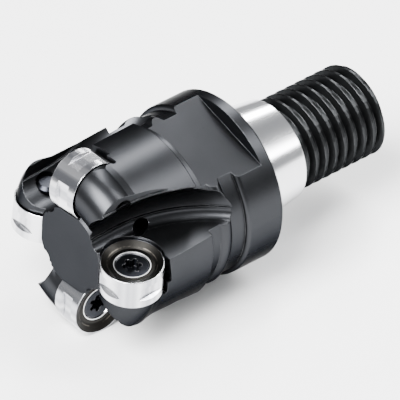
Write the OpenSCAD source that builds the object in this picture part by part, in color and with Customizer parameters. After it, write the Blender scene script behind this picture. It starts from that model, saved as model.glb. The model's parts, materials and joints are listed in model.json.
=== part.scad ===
// Screw-in face mill with four round inserts, lying on its side.
// Frame: the origin is the middle of the shoulder, +Y runs to the threaded shank,
// the teeth are at -Y and +Z is up. All sizes are in millimetres.

/* [Shank] */
// Nominal diameter of the shank thread
thread_d = 16; // [14:0.5:16]
// Pitch of the shank thread
thread_pitch = 2; // [1.5:0.25:2.5]
// Distance from the shoulder to the end of the shank
shank_l = 27.5; // [22:0.5:32]
// Length of the ground locating taper
taper_l = 9.9; // [7:0.1:11]
// Diameter of the taper at the shoulder
taper_big_d = 19.6; // [18.5:0.1:21]
// Diameter of the taper at its small end
taper_small_d = 17.2; // [17:0.1:18]
// Diameter of the coolant bore up the middle
coolant_bore_d = 5; // [4:0.5:6]

/* [Flange] */
// Diameter of the flange
flange_d = 29; // [28:0.5:30]
// Length of the flange
flange_l = 7.4; // [6:0.1:9]
// Width over the two wrench flats
wrench_af = 24; // [22:0.5:26]
// Turn of the wrench flats about the axis, from +X towards +Z
wrench_turn = 71.8; // [0:0.1:180]
// Length of full round left behind the wrench flats
wrench_band = 2.15; // [1.5:0.05:3]
// Distance from the shoulder to the front end of the wrench flats
wrench_end = 13.4; // [11:0.1:14]

/* [Cutter head] */
// Diameter of the neck in front of the flange
neck_d = 27.5; // [27:0.1:28.8]
// Diameter of the rounded bead around the neck
bead_d = 28.7; // [28:0.1:29]
// Distance from the shoulder to the middle of the bead
bead_dist = 11.3; // [10.8:0.1:12]
// Distance from the shoulder to the back of the head
head_back = 14.8; // [13:0.1:17]
// Diameter of the head
head_d = 29.7; // [28.8:0.1:31]
// Clearance between the rounded nose of the head and the insert outline
nose_relief = 0.66; // [0.4:0.02:1]
// Diameter of the round end face
face_d = 14.4; // [12:0.1:15]
// Distance from the shoulder to the round end face
face_dist = 31.65; // [31:0.05:32.3]

/* [Teeth] */
// Turn of each tooth about the axis, from +X towards +Z
tooth_turn = [0, 96, 181.5, 275];
// Radial place of the insert centre
tooth_x = 10.9; // [10:0.05:11.5]
// Distance from the shoulder to the insert centre
tooth_dist = 28.13; // [27:0.01:29]
// Height of the insert face over the axis plane
tooth_z = 2.26; // [1.5:0.02:3]
// Radial rake, the tilt of the insert face about the tool axis
radial_rake = 7; // [0:0.5:12]
// Axial rake, the tilt of the insert face towards the end face
axial_rake = 2.9; // [0:0.1:8]

/* [Gullets] */
// Height of the gullet floor over the insert face
gullet_rise = 0.5; // [0:0.05:1]
// Distance from the insert centre to the foot of the gullet wall
gullet_reach = 5.75; // [5.4:0.05:6.2]
// Radius of the curved run-out of the gullet
gullet_r = 23.5; // [20:0.5:26]
// Radius of the hollow gullet wall in cross-section
wall_r = 5.66; // [5:0.02:7]
// Distance from the insert centre to the flat on the back of the next tooth
back_reach = 3.95; // [3:0.05:4.5]
// Radius of the boss that carries each insert
boss_r = 4.4; // [4.2:0.05:4.6]
// Lean of the boss towards the tool axis, away from the back of the insert
boss_lean = 24; // [18:1:28]
// Fillet radius at the root of the gullet
gullet_fillet = 1.5; // [0.8:0.1:2.5]
// Diameter of the coolant hole in each gullet
coolant_d = 2.2; // [1.5:0.1:2.6]

/* [Inserts] */
// Diameter of the round insert
insert_d = 10.12; // [9.8:0.02:10.4]
// Thickness of the insert over both cutting edges
insert_t = 5.28; // [4.8:0.02:5.6]
// Depth of the middle land under the cutting edge
land_depth = 0.67; // [0.5:0.01:0.8]
// Diameter of the hole through the insert
insert_hole_d = 4.4; // [4.2:0.1:4.8]
// Diameter of the countersink at the land
sink_d = 5.66; // [5.4:0.02:6]
// Number of anti-rotation flats around the insert
flat_count = 4; // [4:1:6]
// Distance from the insert axis to each anti-rotation flat
flat_reach = 4.45; // [4.3:0.01:4.7]
// Width of full round left above and below each flat
flat_margin = 1.25; // [1:0.05:1.6]

/* [Insert screws] */
// Diameter of the screw shank
screw_d = 3.9; // [3.5:0.1:4]
// Length of the screw under the middle of its head
screw_l = 7.6; // [6:0.1:8.5]
// Radial clearance of the screw in the tapped hole and in the insert
screw_gap = 0.05; // [0.03:0.01:0.1]

/* [Hidden] */
$fn = 96;

insert_r = insert_d / 2;
nose_r = insert_r - nose_relief;
neck_r = neck_d / 2;
head_r = head_d / 2;
flange_r = flange_d / 2;

// Shank thread: 60 degree flanks, flat crests and flat roots
crest_r = thread_d / 2 - 0.17;
root_r = thread_d / 2 - 0.6134 * thread_pitch;
crest_w = thread_pitch / 8 + 0.17;
root_w = thread_pitch / 4;
thread_steps = 40;
thread_turns = ceil((shank_l - taper_l) / thread_pitch) + 3;
thread_chamfer = 0.7;
// Keeps the corners of the helix off the planes that cut it
thread_phase = 0.023;

// Insert countersink and screw head share one 60 degree cone
sink_lean = tan(30);
sink_r = sink_d / 2;
insert_hole_r = insert_hole_d / 2;
sink_depth = (sink_r - insert_hole_r) / sink_lean;
breaker_r = 3.95;
breaker_depth = 0.48;
land_r = 3.6;
head_top = -land_depth - 0.18;
head_gap = 0.06;
head_top_r = sink_r - 0.18 * sink_lean - head_gap;

// Pocket
pocket_gap = 0.1;
pocket_floor = -insert_t - 0.12;
pocket_top = 1.5;
seat_r = land_r - 0.15;
seat_top = -insert_t + land_depth;
relief_x = 2.4;
relief_step = -3.6;
relief_wide = 4.55;
relief_narrow = 3.85;
relief_round = 0.45;
big = 60;

// Shift of a tooth's back flat for each degree that its gap is under the widest
crowding = 0.175;

// Front end of the middle bore, and the run of the coolant hole of tooth 1
bore_front = -15.5;
coolant_start = [0, -14.5, 1.2];
coolant_exit = [6.3, -22.6, 3.9];
coolant_over = 2.5;

// Turns a solid drawn along +Z so that it runs along +Y
module along_y() {
  rotate([-90, 0, 0]) children();
}

// Frame of tooth i: origin at the middle of the cutting edge circle, +Z out of the
// insert face, +X away from the tool axis, +Y towards the shank
module at_seat(i) {
  rotate([0, -tooth_turn[i], 0])
    translate([tooth_x, -tooth_dist, tooth_z])
      rotate([axial_rake, radial_rake, 0])
        children();
}

// ---------- cutter body ----------

// One point of the thread: step k along the helix, corner j of the profile
function thread_point(k, j) =
  let (turn = 360 * k / thread_steps)
  let (r = (j == 0 || j == 3) ? root_r : crest_r)
  let (flank = (thread_pitch - crest_w - root_w) / 2)
  let (z = thread_pitch * k / thread_steps + [0, flank, flank + crest_w, 2 * flank + crest_w][j])
  [r * cos(turn), r * sin(turn), z];

// Endless threaded rod, wound from the steps of one helix
module thread_rod() {
  last = thread_steps * thread_turns;
  points = concat(
    [for (k = [0:last]) for (j = [0:3]) thread_point(k, j)],
    [[0, 0, -thread_pitch], [0, 0, thread_pitch * (thread_turns + 2)]]);
  low_hub = 4 * (last + 1);
  high_hub = low_hub + 1;
  n = thread_steps;
  sides = [for (k = [0:last - 1]) for (j = [0:2]) each [
    [4 * k + j, 4 * k + j + 1, 4 * k + j + 5],
    [4 * k + j, 4 * k + j + 5, 4 * k + j + 4]]];
  roots = [for (k = [0:last - n - 1]) each [
    [4 * k + 3, 4 * (k + n), 4 * (k + n + 1)],
    [4 * k + 3, 4 * (k + n + 1), 4 * (k + 1) + 3]]];
  low_loop = concat([for (k = [0:n]) 4 * k], [3, 2, 1]);
  high_loop = concat([for (k = [last - n:last]) 4 * k + 3], [4 * last + 2, 4 * last + 1, 4 * last]);
  low_cap = [for (m = [0:len(low_loop) - 1])
    [low_loop[(m + 1) % len(low_loop)], low_loop[m], low_hub]];
  high_cap = [for (m = [0:len(high_loop) - 1])
    [high_loop[m], high_loop[(m + 1) % len(high_loop)], high_hub]];
  faces = concat(sides, roots, low_cap, high_cap);
  polyhedron(points, [for (f = faces) [f[0], f[2], f[1]]], convexity = 10);
}

// Threaded shank, cut square at the taper and chamfered at its end
module threaded_shank() {
  l = shank_l - taper_l;
  r = crest_r + 1;
  color("#26282a") resize([2 * crest_r, 2 * crest_r, l])
    intersection() {
      translate([0, 0, thread_phase - 2 * thread_pitch]) thread_rod();
      union() {
        cylinder(r = r, h = l - thread_chamfer - 1);
        translate([0, 0, l - thread_chamfer - 1])
          cylinder(r1 = r, r2 = r - thread_chamfer - 1, h = thread_chamfer + 1);
      }
    }
}

// Outline of the neck with its bead between two grooves, and the rounded edge of the flange
module neck_section() {
  bead_round = 1.4;
  edge_round = 0.7;
  translate([0, -head_back - 0.1]) square([neck_r, head_back]);
  translate([bead_d / 2 - bead_round, -bead_dist]) circle(r = bead_round);
  translate([0, -flange_l]) square([flange_r - edge_round, flange_l - 1]);
  translate([0, edge_round - flange_l]) square([flange_r, flange_l - edge_round - 1]);
  translate([flange_r - edge_round, edge_round - flange_l]) circle(r = edge_round);
}

// Everything turned on the lathe except the thread and the nose
module turned_body() {
  chamfer = 0.4;
  flare_y = -25.3;
  nose_y = -26.6;
  nose_start_r = tooth_x + sqrt(pow(nose_r, 2) - pow(tooth_dist + nose_y, 2));
  face_r = face_d / 2;
  valley = 0.45;
  web_r = tooth_x - 2.9;
  core_r = neck_r - 1;
  along_y() rotate_extrude() {
    neck_section();
    polygon([
      [0, taper_l],
      [taper_small_d / 2 - 0.2, taper_l],
      [taper_small_d / 2, taper_l - 0.2],
      [taper_big_d / 2, 0],
      [flange_r - chamfer, 0],
      [flange_r, -chamfer],
      [flange_r, -2],
      [core_r, -2],
      [core_r, -head_back],
      [head_r - 0.15, -head_back],
      [head_r, -head_back - 0.15],
      [head_r, flare_y],
      [nose_start_r, nose_y],
      [tooth_x, nose_y],
      [web_r, -tooth_dist],
      [web_r, -face_dist + valley],
      [face_r + valley, -face_dist + valley],
      [face_r, -face_dist],
      [0, -face_dist]]);
  }
}

// Rounded nose that follows the inserts around the front of the head
module nose_ring() {
  along_y() rotate_extrude()
    translate([tooth_x, -tooth_dist]) circle(r = nose_r);
}

// Cross-section of a gullet: floor, root fillet and hollow wall up to a straight flat
module gullet_section(reach, flat) {
  top = 7.9;
  hollow_in = 4.95;
  hollow_up = 2.75;
  difference() {
    union() {
      square([reach - 2, top]);
      translate([reach - hollow_in, hollow_up]) circle(r = wall_r);
      translate([0, top - 0.01]) square([reach - gullet_reach + flat, big / 2]);
    }
    translate([0, -5]) square([reach + 1, 5]);
    translate([reach - gullet_fillet, 0]) difference() {
      translate([0, -1]) square([gullet_fillet + 1, gullet_fillet + 1]);
      translate([0.2, gullet_fillet]) circle(r = gullet_fillet);
    }
  }
}

// Gullet in front of insert i, in the frame of that insert. A tooth keeps its thickness
// where the next tooth is close, so the flat on its back then moves in
module gullet(i) {
  centre_x = gullet_r - gullet_reach;
  centre_y = 1.1;
  gap = (i == 3 ? 360 : tooth_turn[i + 1]) - tooth_turn[i];
  flat = back_reach - crowding * (tooth_turn[1] - gap);
  translate([centre_x, centre_y, gullet_rise]) {
    rotate([0, 0, 90]) rotate_extrude(angle = 180) gullet_section(gullet_r, flat);
    rotate([90, 0, 0]) linear_extrude(height = big / 2)
      mirror([1, 0]) gullet_section(gullet_r, flat);
    translate([0, -big / 2, 0]) cube([big / 2, big, big / 2]);
  }
}

// Round pocket with its raised seat, in the frame of its insert
module pocket() {
  depth = pocket_top - pocket_floor;
  difference() {
    translate([0, 0, pocket_floor]) cylinder(r = insert_r + pocket_gap, h = depth);
    translate([0, 0, pocket_floor - 1]) cylinder(r = seat_r, h = seat_top - pocket_floor + 1);
  }
  // relief at the open rear corner of the pocket
  translate([relief_x, 0, relief_step]) cube([insert_r, relief_wide, pocket_top - relief_step]);
  translate([relief_x, 0, pocket_floor]) cube([insert_r, relief_narrow, depth]);
  translate([relief_x, relief_narrow - relief_round, pocket_floor])
    rotate([0, 90, 0]) cylinder(r = relief_round, h = insert_r);
}

// Tapped hole for the insert screw, with its tap drill right through the tooth
module screw_hole() {
  r = screw_d / 2 + screw_gap;
  depth = screw_l + land_depth + 0.6;
  step = 0.4;
  rotate_extrude() polygon([
    [0, 0],
    [r, 0],
    [r, -depth],
    [r - step, -depth - step],
    [r - step, -big / 3],
    [0, -big / 3]]);
}

// Boss that carries an insert and leans with the rounded nose behind it
module seat_boss() {
  above = 1.8;
  length = 13;
  translate([0, 0, -insert_t]) rotate([0, boss_lean, 0])
    translate([0, 0, -length]) cylinder(r = boss_r, h = length + above);
}

// Coolant hole from the middle bore to the root of the gullet
module coolant_hole(i) {
  run = coolant_exit - coolant_start;
  rotate([0, -tooth_turn[i], 0]) translate(coolant_start)
    rotate([0, acos(run[2] / norm(run)), atan2(run[1], run[0])])
      cylinder(d = coolant_d, h = norm(run) + coolant_over);
}

// One pair of wrench flats, cut from the band to the front end
module wrench_cuts() {
  for (turn = [wrench_turn, wrench_turn + 180])
    rotate([0, -turn, 0])
      translate([wrench_af / 2, -wrench_end, -big / 2])
        cube([big / 4, wrench_end - wrench_band, big]);
}

module cutter_body() {
  color("#3d4043") difference() {
    union() {
      turned_body();
      nose_ring();
      for (i = [0:3]) at_seat(i) seat_boss();
      translate([0, taper_l, 0]) along_y() threaded_shank();
    }
    wrench_cuts();
    for (i = [0:3]) {
      at_seat(i) gullet(i);
      at_seat(i) pocket();
      at_seat(i) screw_hole();
      coolant_hole(i);
    }
    along_y() translate([0, 0, bore_front]) cylinder(d = coolant_bore_d, h = shank_l - bore_front + 1);
    along_y() translate([0, 0, shank_l - 0.8])
      cylinder(d1 = coolant_bore_d, d2 = coolant_bore_d + 2, h = 1);
  }
}

// ---------- inserts ----------

// One half of the insert outline, from the cutting edge to the middle of the hole
function insert_half(side) = [
  [insert_r - 0.05, side * insert_t / 2],
  [insert_r - 0.2, side * insert_t / 2],
  [breaker_r, side * (insert_t / 2 - breaker_depth)],
  [land_r, side * (insert_t / 2 - land_depth)],
  [sink_r, side * (insert_t / 2 - land_depth)],
  [insert_hole_r, side * (insert_t / 2 - land_depth - sink_depth)]];

// Wedge that leaves one flat on the edge of the insert
module flat_cut() {
  half = insert_t / 2 - flat_margin;
  slope = 0.25;
  rotate([90, 0, 0]) linear_extrude(height = insert_d, center = true) polygon([
    [flat_reach, half - slope],
    [insert_r + 0.5, half + slope],
    [insert_r + 0.5, -half - slope],
    [flat_reach, -half + slope]]);
}

module insert(i) {
  top = insert_half(1);
  bottom = insert_half(-1);
  color("#c9ccd0") at_seat(i) translate([0, 0, -insert_t / 2]) difference() {
    rotate_extrude() polygon(concat(
      [[insert_r, -insert_t / 2 + 0.05], [insert_r, insert_t / 2 - 0.05]],
      top,
      [for (m = [len(bottom) - 1:-1:0]) bottom[m]]));
    for (m = [0:flat_count - 1]) rotate([0, 0, m * 360 / flat_count]) flat_cut();
  }
}

// ---------- insert screws ----------

// Six-lobed driving recess
module lobed_recess() {
  lobe_place = 1.22;
  circle(r = 1.12);
  for (m = [0:5]) rotate(m * 60) translate([lobe_place, 0]) circle(r = 0.4);
}

module insert_screw(i) {
  shank_r = screw_d / 2;
  neck = -(head_top_r - shank_r) / sink_lean;
  color("#23262b") at_seat(i) translate([0, 0, head_top]) difference() {
    rotate_extrude() polygon([
      [0, 0],
      [head_top_r - 0.1, 0],
      [head_top_r, -0.1],
      [shank_r, neck],
      [shank_r, -screw_l + 0.5],
      [shank_r - 0.5, -screw_l],
      [0, -screw_l]]);
    translate([0, 0, -1.5]) linear_extrude(height = 2) lobed_recess();
  }
}

cutter_body();
insert(0);  // insert_1
insert(1);  // insert_2
insert(2);  // insert_3
insert(3);  // insert_4
insert_screw(0);  // insert_screw_1
insert_screw(1);  // insert_screw_2
insert_screw(2);  // insert_screw_3
insert_screw(3);  // insert_screw_4
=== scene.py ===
import json
import math

import bpy
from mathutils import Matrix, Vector


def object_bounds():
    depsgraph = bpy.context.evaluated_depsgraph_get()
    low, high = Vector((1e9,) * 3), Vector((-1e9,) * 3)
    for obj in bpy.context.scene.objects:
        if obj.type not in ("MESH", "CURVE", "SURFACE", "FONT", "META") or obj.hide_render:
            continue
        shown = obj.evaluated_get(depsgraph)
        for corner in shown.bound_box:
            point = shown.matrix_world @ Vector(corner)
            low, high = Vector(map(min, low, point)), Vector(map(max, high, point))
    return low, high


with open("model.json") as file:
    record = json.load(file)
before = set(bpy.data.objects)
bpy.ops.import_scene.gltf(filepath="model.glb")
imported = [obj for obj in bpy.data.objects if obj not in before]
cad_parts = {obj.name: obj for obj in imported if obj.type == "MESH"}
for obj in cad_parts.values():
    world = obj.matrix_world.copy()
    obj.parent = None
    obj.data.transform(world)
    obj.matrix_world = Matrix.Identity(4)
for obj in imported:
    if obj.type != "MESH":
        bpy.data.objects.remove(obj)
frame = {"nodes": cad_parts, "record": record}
cad_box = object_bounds()
nodes = frame["nodes"]
scene = bpy.context.scene
MM = 0.001

# Camera: a long lens far away, so that the tool shows with almost no perspective
VIEW_AZIMUTH = 49.55
VIEW_ELEVATION = 36.02
LENS_MM = 1000
SENSOR_MM = 36
FRAME_WIDTH = 63.03 * MM
# Where the origin of the tool sits in the picture, as shares of its width from the middle
ORIGIN_RIGHT = 0.0605
ORIGIN_UP = 0.0671
# Shank: where the ground taper ends and the black thread begins
TAPER_LENGTH = 9.90 * MM
# Inserts: thickness, countersink, outer edge of the coating, and the ring of the chip breaker
INSERT_THICKNESS = 5.28 * MM
FACE_DEPTH = 0.85 * MM
SINK_RADIUS = 2.83 * MM
COATED_RADIUS = 4.90 * MM
CHIP_RING = (3.88 * MM, 4.00 * MM)


# ---------- node helpers ----------

def new_material(name):
    """A material with an empty tree but for its Principled shader and output."""
    material = bpy.data.materials.new(name)
    material.use_nodes = True
    tree = material.node_tree
    tree.nodes.clear()
    shader = tree.nodes.new("ShaderNodeBsdfPrincipled")
    output = tree.nodes.new("ShaderNodeOutputMaterial")
    tree.links.new(shader.outputs["BSDF"], output.inputs["Surface"])
    return material, tree, shader


def add(tree, kind, inputs=None, **settings):
    """A node with its settings and its input values, or links where an input is a socket."""
    node = tree.nodes.new(kind)
    for key, value in settings.items():
        setattr(node, key, value)
    for key, value in (inputs or {}).items():
        if isinstance(value, bpy.types.NodeSocket):
            tree.links.new(value, node.inputs[key])
        else:
            node.inputs[key].default_value = value
    return node


def maths(tree, operation, a, b=0.0, clamp=False):
    return add(tree, "ShaderNodeMath", {0: a, 1: b}, operation=operation, use_clamp=clamp).outputs[0]


def ramp(tree, value, low, high):
    """0 at low and 1 at high, clamped."""
    node = add(tree, "ShaderNodeMapRange", {"Value": value, "From Min": low, "From Max": high})
    return node.outputs["Result"]


def between(tree, value, low, high, soft):
    """1 where the value lies between low and high, with soft edges."""
    up = ramp(tree, value, low - soft, low + soft)
    down = ramp(tree, value, high + soft, high - soft)
    return maths(tree, "MULTIPLY", up, down)


def mix_colour(tree, share, a, b):
    node = add(tree, "ShaderNodeMix", data_type="RGBA")
    for socket, value in ((node.inputs[0], share), (node.inputs[6], a), (node.inputs[7], b)):
        if isinstance(value, bpy.types.NodeSocket):
            tree.links.new(value, socket)
        else:
            socket.default_value = value
    return node.outputs[2]


def mix_value(tree, share, a, b):
    """a where share is 0 and b where it is 1."""
    node = add(tree, "ShaderNodeMapRange", {"Value": share, "To Min": a, "To Max": b})
    return node.outputs["Result"]


def noise(tree, vector, scale, detail=3.0, roughness=0.5):
    node = add(tree, "ShaderNodeTexNoise",
               {"Vector": vector, "Scale": scale, "Detail": detail, "Roughness": roughness})
    return node.outputs["Fac"]


def scaled(tree, value, factor):
    """A part of a value."""
    return maths(tree, "MULTIPLY", value, factor)


def vector_maths(tree, operation, a, b=None, output="Vector"):
    inputs = {0: a} if b is None else {0: a, 1: b}
    return add(tree, "ShaderNodeVectorMath", inputs, operation=operation).outputs[output]


def bump(tree, strength, distance, height, normal):
    inputs = {"Strength": strength, "Distance": distance, "Height": height, "Normal": normal}
    return add(tree, "ShaderNodeBump", inputs).outputs["Normal"]


def finish_metal(tree, shader, colour, rough, normal):
    tree.links.new(colour, shader.inputs["Base Color"])
    tree.links.new(rough, shader.inputs["Roughness"])
    tree.links.new(normal, shader.inputs["Normal"])
    shader.inputs["Metallic"].default_value = 1.0


def object_coordinates(tree):
    return add(tree, "ShaderNodeTexCoord").outputs["Object"]


def stretched(tree, vector, scale):
    node = add(tree, "ShaderNodeMapping", {"Vector": vector, "Scale": scale})
    return node.outputs["Vector"]


def grey(value, blue=1.0):
    return (value, value, value * blue, 1.0)


# ---------- materials ----------

def edge_mask(tree, radius, low, high):
    """1 on sharp edges and 0 on faces, from how far a bevelled normal turns."""
    bevel = add(tree, "ShaderNodeBevel", {"Radius": radius}, samples=6)
    normal = add(tree, "ShaderNodeNewGeometry").outputs["Normal"]
    match = vector_maths(tree, "DOT_PRODUCT", bevel.outputs[0], normal, "Value")
    return ramp(tree, match, high, low), bevel.outputs[0]


def body_steel():
    """Dark oxide on the head and neck, ground bright steel on the taper, and a black thread."""
    material, tree, shader = new_material("body_steel")
    place = object_coordinates(tree)
    parts = add(tree, "ShaderNodeSeparateXYZ", {0: place})
    along = parts.outputs["Y"]

    taper = between(tree, along, 0.04 * MM, TAPER_LENGTH, 0.02 * MM)
    thread = ramp(tree, along, TAPER_LENGTH + 0.01 * MM, TAPER_LENGTH + 0.05 * MM)

    turned = noise(tree, stretched(tree, place, (60, 9000, 60)), 1.0, 3.0)
    ground = noise(tree, stretched(tree, place, (90, 26000, 90)), 1.0, 3.0, 0.6)
    grain = noise(tree, place, 5200.0, 3.0, 0.5)
    patches = noise(tree, place, 150.0, 4.0, 0.6)
    specks = ramp(tree, noise(tree, place, 2600.0, 2.0, 0.5), 0.66, 0.74)
    edges, soft_normal = edge_mask(tree, 0.16 * MM, 0.90, 0.995)
    rubbed = ramp(tree, noise(tree, place, 500.0, 2.0, 0.5), 0.42, 0.66)
    worn = maths(tree, "MULTIPLY", edges, rubbed)

    dark = mix_colour(tree, patches, (0.024, 0.025, 0.027, 1), (0.033, 0.034, 0.037, 1))
    dark = mix_colour(tree, scaled(tree, specks, 0.30), dark, grey(0.018))
    dark = mix_colour(tree, thread, dark, (0.024, 0.025, 0.026, 1))
    dark = mix_colour(tree, scaled(tree, worn, 0.35), dark, (0.14, 0.145, 0.15, 1))
    bright = mix_colour(tree, ground, (0.66, 0.665, 0.69, 1), (0.84, 0.845, 0.86, 1))
    colour = mix_colour(tree, taper, dark, bright)

    uneven = scaled(tree, maths(tree, "SUBTRACT", grain, 0.5), 0.05)
    rough_dark = maths(tree, "ADD", mix_value(tree, patches, 0.29, 0.36), uneven)
    rough = mix_value(tree, taper, rough_dark, mix_value(tree, ground, 0.13, 0.24))
    # the oxide doesn't turn into a mirror at a low angle, while the ground steel does
    tint = mix_colour(tree, taper, grey(0.35), grey(1.0))
    tree.links.new(tint, shader.inputs["Specular Tint"])

    fine = bump(tree, 0.02, 0.02 * MM, grain, soft_normal)
    rings = bump(tree, 0.06, 0.02 * MM, turned, fine)
    finish_metal(tree, shader, colour, rough, rings)
    return material


def carbide(name, centre, normal):
    """Bright ground edge, painted with light and dark bands of reflection around it, a bright
    countersink rim, and dark coated rake faces. The centre is the middle of the upper face and the
    normal points out of it."""
    material, tree, shader = new_material(name)
    place = object_coordinates(tree)
    local = vector_maths(tree, "SUBTRACT", place, centre)
    height = vector_maths(tree, "DOT_PRODUCT", local, normal, "Value")
    across = vector_maths(tree, "CROSS_PRODUCT", local, normal)
    radius = vector_maths(tree, "LENGTH", across, output="Value")

    half = 0.5 * INSERT_THICKNESS
    level = maths(tree, "ABSOLUTE", maths(tree, "ADD", height, half))
    near_face = ramp(tree, level, half - FACE_DEPTH, half - FACE_DEPTH + 0.05 * MM)
    band = between(tree, radius, SINK_RADIUS - 0.03 * MM, COATED_RADIUS, 0.03 * MM)
    coated = maths(tree, "MULTIPLY", band, near_face)
    rim = between(tree, radius, SINK_RADIUS - 0.04 * MM, SINK_RADIUS + 0.14 * MM, 0.02 * MM)
    hole = ramp(tree, radius, SINK_RADIUS - 0.40 * MM, SINK_RADIUS - 0.48 * MM)

    grain = noise(tree, place, 9000.0, 4.0, 0.65)
    patches = noise(tree, place, 700.0, 4.0, 0.6)
    ground_lines = add(tree, "ShaderNodeCombineXYZ", {0: height}).outputs[0]
    ground = noise(tree, ground_lines, 30000.0, 3.0, 0.6)
    ring = between(tree, radius, *CHIP_RING, 0.06 * MM)
    broken = ramp(tree, noise(tree, place, 620.0, 2.0), 0.44, 0.56)
    arcs = maths(tree, "MULTIPLY", ring, broken)

    coat = mix_colour(tree, patches, (0.011, 0.0105, 0.010, 1), (0.022, 0.021, 0.019, 1))
    coat = mix_colour(tree, scaled(tree, arcs, 0.6), coat, (0.16, 0.145, 0.125, 1))
    # painted reflections: dark and light bands around the ground edge of the insert stand in for the
    # studio's reflections on it
    around = vector_maths(tree, "NORMALIZE", across)
    painted_reflection_bands = ramp(tree, noise(tree, around, 2.6, 1.5), 0.36, 0.64)
    steel = mix_colour(tree, ground, (0.72, 0.72, 0.74, 1), (0.86, 0.86, 0.88, 1))
    steel = mix_colour(tree, painted_reflection_bands, (0.33, 0.335, 0.36, 1), steel)
    colour = mix_colour(tree, coated, steel, coat)
    colour = mix_colour(tree, hole, colour, (0.20, 0.20, 0.21, 1))
    colour = mix_colour(tree, rim, colour, (0.93, 0.93, 0.94, 1))

    rough_ground = mix_value(tree, ground, 0.13, 0.24)
    rough_coat = mix_value(tree, grain, 0.30, 0.46)
    rough = mix_value(tree, coated, rough_ground, rough_coat)
    bevel = add(tree, "ShaderNodeBevel", {"Radius": 0.07 * MM}, samples=6)
    fine = bump(tree, 0.08, 0.01 * MM, grain, bevel.outputs[0])
    finish_metal(tree, shader, colour, rough, fine)
    return material


def screw_steel():
    """Blue-black oxide on the screws, rubbed on the edges of the driving recess."""
    material, tree, shader = new_material("screw_steel")
    place = object_coordinates(tree)
    grain = noise(tree, place, 8000.0, 4.0, 0.6)
    patches = noise(tree, place, 1200.0, 3.0, 0.6)
    edges, soft_normal = edge_mask(tree, 0.10 * MM, 0.92, 0.995)
    dark = mix_colour(tree, patches, (0.016, 0.017, 0.021, 1), (0.028, 0.030, 0.036, 1))
    worn = maths(tree, "MULTIPLY", edges, ramp(tree, patches, 0.42, 0.62))
    colour = mix_colour(tree, scaled(tree, worn, 0.4), dark, grey(0.35))
    fine = bump(tree, 0.10, 0.02 * MM, grain, soft_normal)
    finish_metal(tree, shader, colour, mix_value(tree, grain, 0.24, 0.38), fine)
    return material


def paint(node, material):
    node.data.materials.clear()
    node.data.materials.append(material)


# ---------- studio ----------

def make_camera():
    """The photograph's direction, with the tool's origin at its place in the frame."""
    azimuth, elevation = math.radians(VIEW_AZIMUTH), math.radians(VIEW_ELEVATION)
    back = Vector((math.sin(azimuth) * math.cos(elevation),
                   -math.cos(azimuth) * math.cos(elevation),
                   math.sin(elevation)))
    right = Vector((math.cos(azimuth), math.sin(azimuth), 0))
    up = back.cross(right)
    data = bpy.data.cameras.new("camera")
    data.lens = LENS_MM
    data.sensor_width = SENSOR_MM
    data.clip_end = 10
    camera = bpy.data.objects.new("camera", data)
    scene.collection.objects.link(camera)
    distance = FRAME_WIDTH * LENS_MM / SENSOR_MM
    aim = -right * ORIGIN_RIGHT * FRAME_WIDTH - up * ORIGIN_UP * FRAME_WIDTH
    camera.location = aim + back * distance
    camera.rotation_mode = "QUATERNION"
    camera.rotation_quaternion = (-back).to_track_quat("-Z", "Y")
    scene.camera = camera


def softbox(name, place, size, power, target):
    """A rectangular light, placed and sized in metres, that faces its target."""
    data = bpy.data.lights.new(name, "AREA")
    data.shape = "RECTANGLE"
    data.size, data.size_y = size
    data.energy = power
    light = bpy.data.objects.new(name, data)
    scene.collection.objects.link(light)
    light.location = place
    light.rotation_mode = "QUATERNION"
    light.rotation_quaternion = (Vector(target) - Vector(place)).to_track_quat("-Z", "Y")


def make_lights():
    # two long strips give the bands along the tool, and a wide key in front lights the floor
    mid_shank, head = (0, 0.01, 0), (0, -0.008, 0)
    strip, square = (0.05, 0.40), (0.40, 0.40)
    softbox("left_strip", (-0.147, 0.189, 0.270), strip, 2.2, mid_shank)
    softbox("right_strip", (0.160, 0.189, 0.262), strip, 1.8, mid_shank)
    softbox("key", (0.10, -0.42, 0.52), square, 24.0, head)
    world = bpy.data.worlds.new("studio")
    scene.world = world
    world.use_nodes = True
    background = world.node_tree.nodes["Background"]
    background.inputs["Color"].default_value = (0.95, 0.97, 1.0, 1.0)
    background.inputs["Strength"].default_value = 0.42


def make_floor():
    below = cad_box[0].z - 0.05 * MM
    bpy.ops.mesh.primitive_plane_add(size=4, location=(0, 0, below))
    floor = bpy.context.object
    floor.name = "floor"
    material, tree, shader = new_material("floor_paper")
    texture = noise(tree, object_coordinates(tree), 60.0, 2.0)
    tree.links.new(mix_colour(tree, texture, grey(0.90), grey(0.93)), shader.inputs["Base Color"])
    shader.inputs["Roughness"].default_value = 0.9
    paint(floor, material)


joints = {joint["name"]: joint for joint in frame["record"]["behaviour"]["joints"]}
paint(nodes["cutter_body"], body_steel())
screw_material = screw_steel()
for number in range(1, 5):
    screw_joint = joints[f"insert_screw_{number}_turn"]
    finish = carbide(f"carbide_{number}", screw_joint["pos_m"], screw_joint["axis"])
    paint(nodes[f"insert_{number}"], finish)
    paint(nodes[f"insert_screw_{number}"], screw_material)

make_camera()
make_lights()
make_floor()
